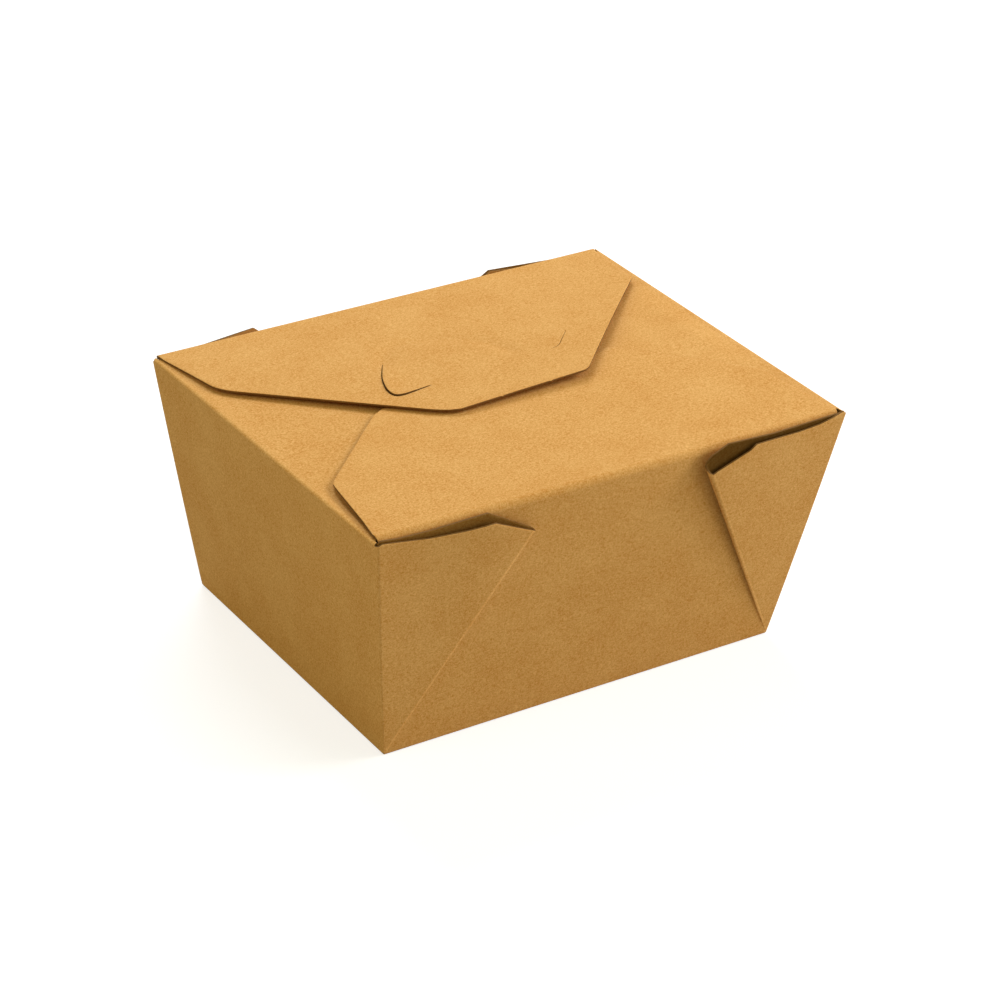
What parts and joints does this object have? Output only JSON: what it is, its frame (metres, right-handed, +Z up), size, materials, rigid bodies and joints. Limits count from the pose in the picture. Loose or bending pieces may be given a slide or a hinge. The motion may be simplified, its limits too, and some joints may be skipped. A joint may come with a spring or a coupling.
{
  "type": "takeaway box",
  "caption": "Folded kraft board takeaway box with flared walls, gusseted corners and a top flap that locks over the inner flaps.",
  "frame": {"origin": "centre of the flat underside of the base, on the surface that the box stands on", "axes": "+X along the front of the box, +Y from front to back, +Z up"},
  "size_m": [0.1296, 0.1127, 0.0663],
  "materials": {
    "kraft_board": "matt uncoated kraft board",
    "kraft_board_flap": "matt uncoated kraft board"
  },
  "bodies": {
    "box": {"folded_box": "kraft_board"},
    "flap": {"top_flap": "kraft_board_flap"}
  },
  "joints": [
    {"name": "top_flap_hinge", "type": "hinge", "parent": "box", "child": "flap", "pos_m": [0, 0.05046, 0.0629], "axis": [-1, 0, 0], "range_deg": [0, 195]}
  ]
}
